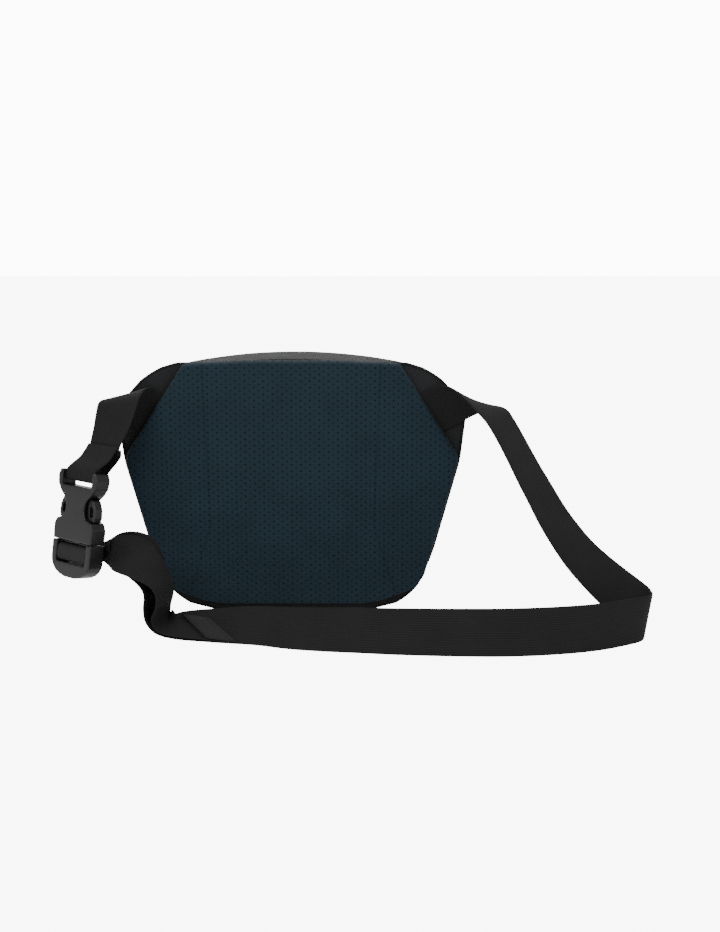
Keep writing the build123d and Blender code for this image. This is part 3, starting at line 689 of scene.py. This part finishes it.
# ------------------------------------------------------------------ holster pocket and throw bag
def tub(name, inset, top, back, front, corner, wall, finish, fold):
    """Soft pouch, wall thickness and all. Its section at each height is the superellipse |x/a|^n +
    |(y-c)/b|^n = 1 with n = 9. a is the half width less the corner's arc near the base, b half the depth,
    and the base is flat. The wall goes up outside, over the rim, down inside and closes on the inner
    base. fold is the height in mm of slow sine folds on the front and sides."""
    def skin(inside, count, lift):
        low = inset + inside + lift
        z_arc = low + corner * (1 - np.cos(np.linspace(0, np.pi / 2, 18)))
        z = np.concatenate([np.full(14, low), z_arc, np.linspace(low + corner, top, count)[1:]])
        z_edge = np.clip((z - low) / corner, 0, 1)
        slant = POUCH_FOOT + (z - inset) * (POUCH_HALF - POUCH_FOOT) / POUCH_SHOULDER
        side = np.where(z < POUCH_SHOULDER, slant, POUCH_HALF)
        bite = corner * (1 - np.sqrt(1 - (1 - z_edge) ** 2)) * 0.95
        half = np.minimum(side, POUCH_HALF) - inset - inside - bite
        small = np.clip((z - low) / 11.0, 0, 1)
        deep = (front - back) / 2 - inside - 11 * (1 - np.sqrt(1 - (1 - small) ** 2)) * 0.5
        middle = (front + back) / 2 - 11 * (1 - np.sqrt(1 - (1 - small) ** 2)) * 0.5
        grow = np.concatenate([np.linspace(0.02, 1, 14), np.ones(len(z) - 14)])
        return z, half * grow, deep * grow, middle
    outer, inner = skin(0.0, 60, 0.0), skin(wall, 50, 0.0)
    z, half, deep, middle = (np.concatenate([o, i[::-1]])[:, None] for o, i in zip(outer, inner))
    angle = (np.arange(220) + 0.5) / 220 * 2 * np.pi
    c, s = np.cos(angle)[None], np.sin(angle)[None]
    x = half * np.sign(c) * np.abs(c) ** (2 / 9)
    y = deep * np.sign(s) * np.abs(s) ** (2 / 9)
    share = np.clip((z - 12) / 60, 0, 1) * np.clip((top - z) / 12, 0, 1)
    waves = (np.sin(x / 31 + z / 47) + 0.6 * np.sin(x / 13 - z / 29 + 1.3) +
             0.4 * np.sin(x / 7.7 + z / 17)) / 2
    y = middle + y + np.where(s > 0.2, 1.0, 0.0) * (fold * (waves - 0.6) * share)
    x = x * (1 - 0.006 * share * (1 + np.sin(z / 19 + y / 23)))
    rows, columns = x.shape
    points = np.stack([x, y, np.broadcast_to(z, x.shape)], -1).reshape(-1, 3)
    faces = list(grid_faces(rows, columns, round_columns=True))
    faces += [list(range(columns)), list(range((rows - 1) * columns, rows * columns))]
    return new_piece(name, points * MM, faces, finish)


pocket = tub("holster_pocket_shell", 0.0, 203, -28, 42, 34, 2.4, SHELL, 1.3)
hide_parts("holster_pocket")
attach(pocket, "holster")

bag = tub("throw_bag_shell", 5.5, 194, -24, 37, 28, 1.2, BAG_CLOTH, 1.0)
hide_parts("throw_bag")
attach(bag, "throw_bag")


def front_arc(z, y_front, half, corner=11.0):
    """Line round a pouch's front at one height: up one side, round a corner, across and back down the
    other."""
    t = np.linspace(0, np.pi / 2, 12)
    right = np.stack([half - corner + corner * np.cos(t), y_front - corner + corner * np.sin(t)], 1)
    left = right[::-1] * [-1, 1]
    line = np.concatenate([[[half, -4]], [[half, 12]], right, [[0, y_front]], left,
                           [[-half, 12]], [[-half, -4]]])
    return np.stack([line[:, 0], line[:, 1], np.full(len(line), z)], 1)


band = front_arc(198.5, 42.6, 112.6)
binding = webbing_strip("mouth_edge_binding", [(p, (0, 0, 1)) for p in band], WEBBING, width=9, thickness=0.7,
                        steps=4, ripple=0.02)
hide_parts("mouth_binding")
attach(binding, "holster")
seam = stitches("pocket_stitching", [front_arc(192.6, 42.1, 112.1), front_arc(196.0, 43.0, 113.0)])
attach(seam, "holster")


def collar():
    """Thin cone of cloth over the bag's mouth: superellipse sections that narrow by 10 mm over 8 mm of
    height, with small gathers where the drawcord pulls it in."""
    v = np.concatenate([np.linspace(0, 1, 16), np.linspace(1, 0, 16)])[:, None]
    thin = np.concatenate([np.zeros(16), np.full(16, 0.7)])[:, None]
    angle = np.arange(260) / 260 * 2 * np.pi
    c, s = np.cos(angle)[None], np.sin(angle)[None]
    gather = 0.7 * v * np.sin(angle * 46)[None]
    x = (105.3 - 10.6 * v - thin + gather) * np.sign(c) * np.abs(c) ** (2 / 9)
    y = 6.5 + (29.3 - 10.6 * v - thin + gather) * np.sign(s) * np.abs(s) ** (2 / 9)
    z = 194.2 + 7.6 * v + 0 * x
    points = np.stack([x, y, z], -1)
    return new_piece("bag_mouth_collar", points.reshape(-1, 3) * MM,
                     grid_faces(len(v), 260, round_rows=True, round_columns=True), BAG_CLOTH)


mouth = collar()
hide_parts("mouth_collar")
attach(mouth, "throw_bag")


def stuffed_rope():
    """Rope pushed into the bag: one tube along a slow figure that crosses the bag, x = 84 sin(a), y = 20
    sin(b), while it climbs from the foam to the mouth, with small uneven swings."""
    t = np.linspace(0, 1, 5200)
    a, b = t * 2 * np.pi * 47.3, t * 2 * np.pi * 61.7
    z = 21.5 + 158.5 * t + 1.6 * np.sin(a * 0.37)
    narrow = np.clip(0.72 + (z - 20) / 300, 0, 1)
    x = narrow * (84 * np.sin(a) + 10 * np.sin(a * 0.23))
    y = 6.5 + 20.5 * np.sin(b + 0.8 * np.sin(a * 0.11)) + 2.5 * np.sin(a * 1.7)
    return tube("stuffed_rope", np.stack([x, y, z], 1), 3.2, ROPE, sides=8)


rope = stuffed_rope()
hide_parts("packed_rope")
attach(rope, "throw_bag")


# ------------------------------------------------------------------ lid
def crown(x):
    """Height of the lid's top: a parabola across the lid."""
    return LID_CROWN - LID_DROP * (x / LID_HALF) ** 2


def lid_height(a, b, u, v):
    """4.2 mm of padding, a 1.4 mm crown and a slight unevenness."""
    return 4.2 + 1.4 * np.sin(np.pi * u) * np.sin(np.pi * v) + 0.25 * np.sin(a / 9) * np.sin(b / 7)


lid_outline = rounded_outline([((104, 46.8), 14), ((104, -23.7), 2)], 600)
marks = corner_marks(lid_outline, (104, -23.7), (100, 43))
lid, free = cushion("lid_top", lid_outline, marks, (110, 60),
                    lambda a, b, h: np.stack([a, b, crown(a) - 4.0 + h], -1), lid_height, SHELL, edge=2.4)
swell(lid, ~free, 1.6, 1.2)
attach(lid, "lid")

flap_outline = rounded_outline([((74, 214.6), 2), ((66, 196), 14), ((34, 164), 14)], 400)
marks = corner_marks(flap_outline, (34, 165), (74, 214))
flap = cushion("lid_front_flap", flap_outline, marks, (80, 50), lambda a, b, h: np.stack([a, 44.0 + h, b], -1),
               lambda a, b, u, v: 2.9 + 0.2 * np.sin(a / 8) * np.sin(b / 6), SHELL, edge=1.4)[0]
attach(flap, "lid")
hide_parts("lid_panel")

edge_line = np.concatenate([lid_outline, lid_outline[:1]])
edge_tape = tube("lid_edge_piping", np.stack([edge_line[:-1, 0] * 0.994, edge_line[:-1, 1] * 0.985 + 0.2,
                                              crown(edge_line[:-1, 0]) - 1.9], 1), 1.5, TAPE, closed=True)
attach(edge_tape, "lid")

HANDLE = [(-50, 47.9), (-43, 47.9), (-38, 48.0), (-34, 49.5), (-24, 55.5), (-10, 58),
          (10, 58), (24, 55.5), (34, 49.5), (38, 48.0), (43, 47.9), (50, 47.9)]
handle = webbing_strip("lid_grab_handle", [((x, y, 188.5), (0, 0, 1)) for x, y in HANDLE], WEBBING, width=25)
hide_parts("grab_handle")
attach(handle, "lid")
upright_rows = [[(x, 48.9, 178), (x, 48.9, 199)] for x in (-48, -46.6, -40, 40, 46.6, 48)]
crossed_rows = [[(x, 48.9, z), (x + 8, 48.9, 377 - z)] for x in (-48, 40) for z in (178, 199)]
tacks = stitches("handle_bar_tacks", upright_rows + crossed_rows)
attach(tacks, "lid")
flap_seam = rounded_outline([((72, 212), 2), ((64, 196.5), 14), ((33, 166.5), 14)], 200)
rows = stitches("lid_stitching", [np.stack([flap_seam[:, 0], np.full(200, 47.0), flap_seam[:, 1]], 1)])
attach(rows, "lid")


# ------------------------------------------------------------------ webbing
SHORT_STRAP = [
    ((-103, -34.2, 164), (-0.54, 0, -0.84)),
    ((-123, -34.6, 177), (-0.54, 0, -0.84)),
    ((-131, -37, 184), (-0.68, 0.12, -0.70)),
    ((-137, -43, 189.5), (-0.86, 0.14, -0.46)),
    ((-141, -51, 192.5), (-0.95, 0.14, -0.26)),
    ((-143.5, -59, 189), (-0.95, 0.24, -0.17)),
    ((-145.5, -63, 181), (-0.92, 0.36, -0.10)),
    ((-149, -66, 168), (-0.86, 0.48, -0.08)),
    ((-153.5, -68.5, 156), (-0.78, 0.62, -0.04)),
    ((-155, -69.5, 151), (-0.743, 0.669, 0)),
]
BELT = [
    ((102, -34.2, 164), (-0.54, 0, 0.84)),
    ((122.5, -34.4, 177), (-0.54, 0, 0.84)),
    ((133, -37, 182.5), (-0.58, -0.10, 0.80)),
    ((143, -42, 187), (-0.66, -0.28, 0.70)),
    ((152, -49, 188), (-0.74, -0.45, 0.50)),
    ((160, -57, 186.5), (-0.75, -0.61, 0.24)),
    ((168, -65, 181.5), (-0.70, -0.70, 0.04)),
    ((176, -71, 172), (-0.60, -0.80, -0.08)),
    ((190, -76, 147), (-0.58, -0.80, -0.14)),
    ((204, -79, 121), (-0.60, -0.77, -0.21)),
    ((220, -82, 93), (-0.63, -0.72, -0.29)),
    ((237, -85, 69), (-0.66, -0.64, -0.38)),
    ((254, -89, 51), (-0.68, -0.53, -0.50)),
    ((271, -95, 36), (-0.66, -0.38, -0.65)),
    ((284, -102, 26), (-0.50, -0.22, -0.84)),
    ((292, -110, 21), (-0.26, -0.05, -0.96)),
    ((293.5, -118, 19.4), (-0.16, 0, -0.98)),
    ((288, -126, 19.2), (-0.08, 0, -0.99)),
    ((274, -135, 19.2), (0, -0.05, -1)),
    ((250, -148, 19.1), (0, -0.12, -0.99)),
    ((215, -158, 18.9), (0, -0.2, -0.98)),
    ((168, -162, 18.4), (0, -0.32, -0.95)),
    ((106, -157, 17.5), (0, -0.45, -0.89)),
    ((58, -149, 16.5), (0, -0.55, -0.84)),
    ((10, -138.5, 15.0), (0, -0.66, -0.75)),
    ((-22, -125, 13.3), (0, -0.75, -0.66)),
    ((-44, -118.6, 12.0), (0, -0.81, -0.59)),
    ((-64, -113.5, 10.4), (0, -0.87, -0.5)),
    ((-87, -110, 9.6), (-0.05, -0.92, -0.38)),
    ((-103, -109, 10), (-0.17, -0.97, -0.17)),
]
ARCH = [
    BELT[-1],
    ((-110, -109, 15), (-0.28, -0.96, 0.04)),
    ((-113, -108, 26), (-0.24, -0.97, 0.04)),
    ((-112, -107, 38), (-0.26, -0.965, 0.03)),
    ((-114, -105, 47), (-0.40, -0.91, -0.04)),
    ((-118, -102, 56), (-0.69, -0.69, -0.21)),
    ((-124, -98, 64), (-0.76, -0.38, -0.50)),
    ((-133, -92, 70), (-0.66, 0.15, -0.73)),
    ((-144, -84, 71), (-0.48, 0.50, -0.72)),
    ((-155, -74, 70), (-0.50, 0.70, -0.50)),
    ((-165, -69, 68), (-0.68, 0.70, -0.15)),
    ((-171.6, -71, 67.8), (-0.743, 0.669, 0)),
]
LOOP = [(11.6, 67.5, -7.4), (8.5, 56.6, -2.7), (4.0, 50.0, 1.6), (0.2, 45.0, 3.6), (0, 40.1, 3.9),
        (0, 37.0, 3.2), (0, 36.0, 0), (0, 36.8, -3.4), (0, 40.5, -5.6), (0, 48.0, -12.3),
        (5.2, 58.8, -16.5), (10.8, 65.0, -12.0)]

# buckle frame: its middle, and the directions across it, along it towards the socket, and out of its face
MIDDLE = np.array([-176.0, -76.0, 87.4])
OUT = unit(np.array([-0.662, -0.735, 0.149]))
ACROSS = unit(np.array([0.743, -0.669, 0]) - OUT * (OUT @ np.array([0.743, -0.669, 0])))
ALONG = np.cross(OUT, ACROSS)


def on_buckle(points):
    """Points given as (across, along, out) of the buckle, in the row frame."""
    return MIDDLE + np.asarray(points, float) @ np.stack([ACROSS, ALONG, OUT])


short = webbing_strip("short_left_strap", SHORT_STRAP, WEBBING)
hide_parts("short_strap")
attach(short, "holster")
loop_stations = [(point, (-0.743, 0.669, 0)) for point in on_buckle(LOOP)]
loop = webbing_strip("socket_strap_loop", loop_stations, WEBBING, ripple=0.05)
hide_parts("strap_loop")
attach(loop, "holster")

whole_belt = webbing_strip("waist_belt", BELT + ARCH[1:], WEBBING)
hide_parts("belt_webbing", "belt_arch")
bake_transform(whole_belt)

TAIL = [
    ((-53.3, -123.5, 5.2), (0.657, -0.689, -0.333)),
    ((-79.9, -116.2, 7.0), (0.617, -0.72, -0.33)),
    ((-92, -112.0, 9.4), (0.30, -0.88, -0.37)),
]
TAIL_LIFTS = [3.4, 3.0, 2.5, 2.3, 6.0, 11.0, 12.0, 9.0, 5.0, 3.2, 2.7, 2.8, 4.0, 8.0, 12.5]
TAIL_SLIPS = [0.0, 0.0, 0.0, 0.0, 1.0, 2.5, 3.5, 4.0, 4.0, 4.0, 4.0, 3.5, 2.5, 1.0, 0.0]
tail = webbing_strip("belt_tail_layer", TAIL + ARCH, WEBBING, lifts=TAIL_LIFTS, slip=TAIL_SLIPS)
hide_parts("belt_tail", "tail_arch")
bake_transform(tail)
HEM = [TAIL[0], ((-77.0, -117.1, 6.8), (0.62, -0.715, -0.33))]
# the hem uses the lighter webbing copy: painted light on its upturned face
hem = webbing_strip("tail_end_hem", HEM, PAINTED_LIT_WEBBING, width=37.4, thickness=2.6, lifts=5.65, ripple=0.0)
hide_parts("tail_hem")
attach(hem, "holster")

TURN = [(-8.4, -18.7), (-3, -18.5), (1.0, -18.5), (4.2, -18.9), (5.7, -20.8), (6.2, -25),
        (5.7, -29.2), (4.2, -31.1), (1.0, -31.5), (-3, -31.4), (-8.4, -31.2)]
turn_stations = [(on_buckle((0, along, out)), ACROSS) for out, along in TURN]
# the turn round the plug uses the lighter webbing copy: painted light
turn = webbing_strip("plug_webbing_turn", turn_stations, PAINTED_LIT_WEBBING, ripple=0.0)
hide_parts("plug_webbing")
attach(turn, "plug")


def cross_rows(stations, first, last, count, margin, lift):
    """Stitch lines across webbing, from one station to the next: points at equal shares of the way, set
    in from both selvedges by margin and lifted off the face by lift."""
    (c0, a0), (c1, a1) = stations[first], stations[last]
    c0, c1, a0, a1 = (np.array(v, float) for v in (c0, c1, a0, a1))
    lines = []
    for share in np.linspace(0.15, 0.85, count):
        centre, across = c0 + (c1 - c0) * share, unit(a0 + (a1 - a0) * share)
        out = unit(np.cross(c1 - c0, across)) * lift
        lines.append([centre - across * (19 - margin) + out, centre + across * (19 - margin) + out])
    return lines


seams = stitches("strap_stitching",
                 cross_rows(SHORT_STRAP, 7, 9, 3, 2.0, 0.95) + cross_rows(HEM, 0, 1, 2, 1.5, 7.1))
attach(seams, "holster")


# ------------------------------------------------------------------ buckle
def softened(node, name, body, finish, voxel=0.55, passes=12):
    """The CAD node's shape with its edges rounded: a fine even remesh, then each vertex is averaged with
    its neighbours."""
    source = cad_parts[node]
    copy = bpy.data.objects.new(name + "_source", source.data.copy())
    bpy.context.scene.collection.objects.link(copy)
    remesh = copy.modifiers.new("remesh", "REMESH")
    remesh.mode, remesh.voxel_size = "VOXEL", voxel * MM
    smooth = copy.modifiers.new("smooth", "SMOOTH")
    smooth.factor, smooth.iterations = 0.5, passes
    made = bpy.data.meshes.new_from_object(copy.evaluated_get(bpy.context.evaluated_depsgraph_get()))
    bpy.data.objects.remove(copy)
    piece = bpy.data.objects.new(name, made)
    bpy.context.scene.collection.objects.link(piece)
    made.polygons.foreach_set("use_smooth", np.ones(len(made.polygons), bool))
    made.materials.clear()
    made.materials.append(finish)
    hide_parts(node)
    if body:
        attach(piece, body)
    return piece


softened("buckle_socket", "socket_shell", "holster", ACETAL)
softened("buckle_plug", "plug_shell", "plug", ACETAL)
for side in ("left", "right"):
    softened("prong_" + side, "prong_arm_" + side, "prong_" + side, ACETAL, 0.4, 4)

# ------------------------------------------------------------------ CAD nodes that stay
KEPT_NODES = {
    "pad_core": PAD_FOAM,
    "foam_float": FLOAT_FOAM,
    "frame_sheet": SHEET_PLASTIC,
    "drain_grommets": ENAMEL,
    "loop_strip": LOOPS,
    "hook_strip": HOOKS,
    "lid_pull_tab": TAPE,
    "lid_hinge_tape": SHELL,
    "drawcord": CORD,
    "cord_end": LOCK_PLASTIC,
    "cord_lock_barrel": LOCK_PLASTIC,
    "cord_lock_button": LOCK_PLASTIC,
    "cord_lock_spring": WIRE,
    "rope_end_loop": ROPE,
}
for node, finish in KEPT_NODES.items():
    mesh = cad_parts[node].data
    mesh.materials.clear()
    mesh.materials.append(finish)

# ------------------------------------------------------------------ floor
floor_finish = Finish("pale_floor", Specular_IOR_Level=0.2)
floor_finish.colour(floor_finish.noise(400.0), (0.90, 0.90, 0.90), (0.92, 0.92, 0.92))
floor_finish.roughness(floor_finish.noise(60.0) * 0.05 + 0.85)
floor_output = next(node for node in floor_finish.tree.nodes if node.type == "OUTPUT_MATERIAL")
white_to_camera(floor_finish.tree, floor_output.inputs["Surface"].links[0].from_socket, floor_output,
                STUDIO_WHITE, FLOOR_WHITE_SHARE)
floor_corners = [(x, y, -0.0005) for x, y in ((-6, -6), (6, -6), (6, 6), (-6, 6))]
floor = new_piece("floor", floor_corners, [(0, 1, 2, 3)], floor_finish.material, smooth=False)
